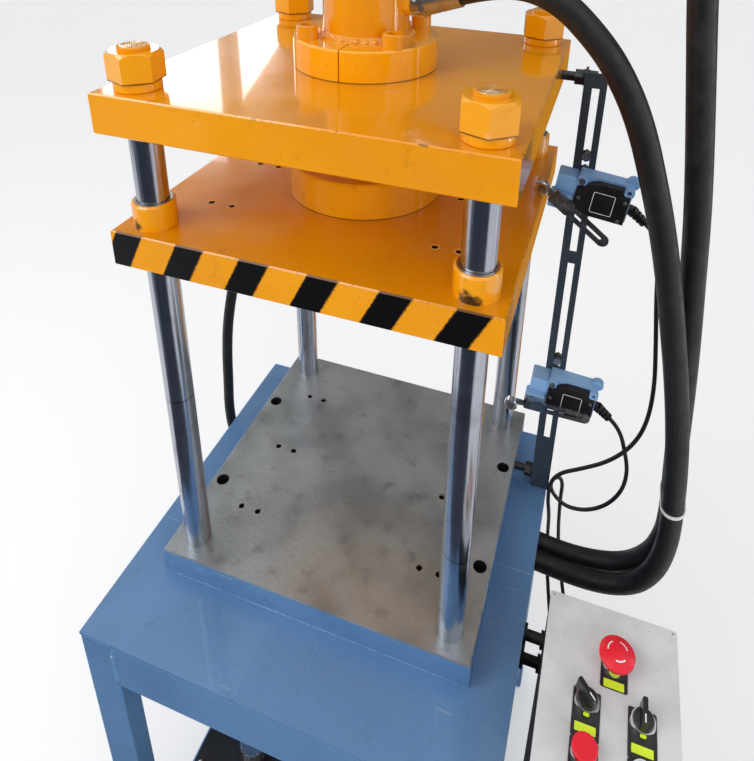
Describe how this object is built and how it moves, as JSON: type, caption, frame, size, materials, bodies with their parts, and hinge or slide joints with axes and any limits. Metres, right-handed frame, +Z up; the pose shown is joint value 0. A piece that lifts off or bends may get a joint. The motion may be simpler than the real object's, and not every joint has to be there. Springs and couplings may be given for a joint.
{
  "type": "hydraulic press",
  "caption": "Four-column hydraulic press on a blue steel table, with guided yellow platen, top cylinder and hoses, limit switches, and a side control cabinet.",
  "frame": {"origin": "centre of the bolster's top face, where the work lies", "axes": "+X to the right seen from the front, +Y to the back, +Z up along the columns"},
  "size_m": [0.7871, 0.6163, 1.8299],
  "materials": {
    "press_yellow": "glossy",
    "table_blue": "glossy",
    "hard_chrome": "polished",
    "ground_steel": "ground",
    "dark_steel": "satin",
    "zinc_steel": "satin",
    "tank_black": "satin",
    "motor_blue": "satin",
    "hose_rubber": "satin",
    "cable_rubber": "satin",
    "switch_blue": "satin",
    "switch_black": "matte",
    "panel_grey": "satin",
    "cabinet_black": "satin",
    "legend_black": "satin",
    "signal_red": "glossy",
    "signal_green": "glossy",
    "knob_black": "satin",
    "tie_white": "satin"
  },
  "bodies": {
    "frame": {"leg_front_left": "table_blue", "leg_front_right": "table_blue", "leg_back_left": "table_blue", "leg_back_right": "table_blue", "apron_rails": "table_blue", "lower_rails": "table_blue", "table_top": "table_blue", "switch_rail": "table_blue", "bolster": "ground_steel", "bolster_screws": "dark_steel", "rail_studs": "dark_steel", "column_front_left": "hard_chrome", "column_front_right": "hard_chrome", "column_back_left": "hard_chrome", "column_back_right": "hard_chrome", "filler_cap": "hard_chrome", "column_nuts": "press_yellow", "column_washers": "press_yellow", "upper_plate": "press_yellow", "cylinder_flange": "press_yellow", "cylinder_barrel": "press_yellow", "cylinder_cap": "press_yellow", "flange_screws": "press_yellow", "rod_gland": "zinc_steel", "hose_fittings": "zinc_steel", "switch_screws": "zinc_steel", "valve_block": "zinc_steel", "lower_hose": "hose_rubber", "upper_hose": "hose_rubber", "rear_hose": "hose_rubber", "upper_cable": "cable_rubber", "lower_cable": "cable_rubber", "cable_glands": "cable_rubber", "cable_ties": "tie_white", "upper_switch_body": "switch_blue", "lower_switch_body": "switch_blue", "switch_covers": "switch_black", "cabinet": "cabinet_black", "cabinet_arms": "cabinet_black", "panel_plate": "panel_grey", "legend_plates": "legend_black", "device_bezels": "zinc_steel", "oil_tank": "tank_black", "tank_lid": "tank_black", "pump_motor": "motor_blue"},
    "crosshead": {"platen": "press_yellow", "guide_bushes": "press_yellow", "ram_flange": "press_yellow", "ram_screws": "dark_steel", "ram_rod": "hard_chrome"},
    "upper_arm": {"upper_lever": "zinc_steel"},
    "lower_arm": {"lower_lever": "zinc_steel"},
    "upper_wheel": {"upper_roller": "hard_chrome"},
    "lower_wheel": {"lower_roller": "hard_chrome"},
    "stop_plunger": {"estop_stem": "knob_black"},
    "stop_mushroom": {"estop_head": "signal_red"},
    "left_knob": {"left_selector": "knob_black"},
    "right_knob": {"right_selector": "knob_black"},
    "red_push": {"red_button": "signal_red"},
    "green_push": {"green_button": "signal_green"}
  },
  "joints": [
    {"name": "press_slide", "type": "slide", "parent": "frame", "child": "crosshead", "axis": [0, 0, 1], "range_m": [-0.287, 0]},
    {"name": "upper_arm_hinge", "type": "hinge", "parent": "frame", "child": "upper_arm", "pos_m": [0.24673, 0.053, 0.49789], "axis": [0, 1, 0], "range_deg": [0, 25], "stiffness_Nm_per_rad": 1, "springref_deg": -11.46},
    {"name": "lower_arm_hinge", "type": "hinge", "parent": "frame", "child": "lower_arm", "pos_m": [0.24673, 0.053, 0.17], "axis": [0, 1, 0], "range_deg": [-40, 40], "stiffness_Nm_per_rad": 2},
    {"name": "upper_roller_spin", "type": "hinge", "parent": "upper_arm", "child": "upper_wheel", "pos_m": [0.216, 0.048, 0.5219], "axis": [0, 1, 0], "continuous": true},
    {"name": "lower_roller_spin", "type": "hinge", "parent": "lower_arm", "child": "lower_wheel", "pos_m": [0.20773, 0.048, 0.17], "axis": [0, 1, 0], "continuous": true},
    {"name": "stop_push", "type": "slide", "parent": "frame", "child": "stop_plunger", "axis": [0, 0, 1], "range_m": [-0.004, 0], "stiffness_N_per_m": 1500},
    {"name": "stop_twist", "type": "hinge", "parent": "stop_plunger", "child": "stop_mushroom", "pos_m": [0.379, -0.171, 0.055], "axis": [0, 0, 1], "range_deg": [-30, 0], "stiffness_Nm_per_rad": 0.1},
    {"name": "left_selector_turn", "type": "hinge", "parent": "frame", "child": "left_knob", "pos_m": [0.351, -0.2195, 0.045], "axis": [0, 0, 1], "range_deg": [-90, 0]},
    {"name": "right_selector_turn", "type": "hinge", "parent": "frame", "child": "right_knob", "pos_m": [0.41, -0.2195, 0.045], "axis": [0, 0, 1], "range_deg": [-45, 45]},
    {"name": "red_push_slide", "type": "slide", "parent": "frame", "child": "red_push", "axis": [0, 0, 1], "range_m": [-0.003, 0], "stiffness_N_per_m": 900},
    {"name": "green_push_slide", "type": "slide", "parent": "frame", "child": "green_push", "axis": [0, 0, 1], "range_m": [-0.003, 0], "stiffness_N_per_m": 900}
  ]
}
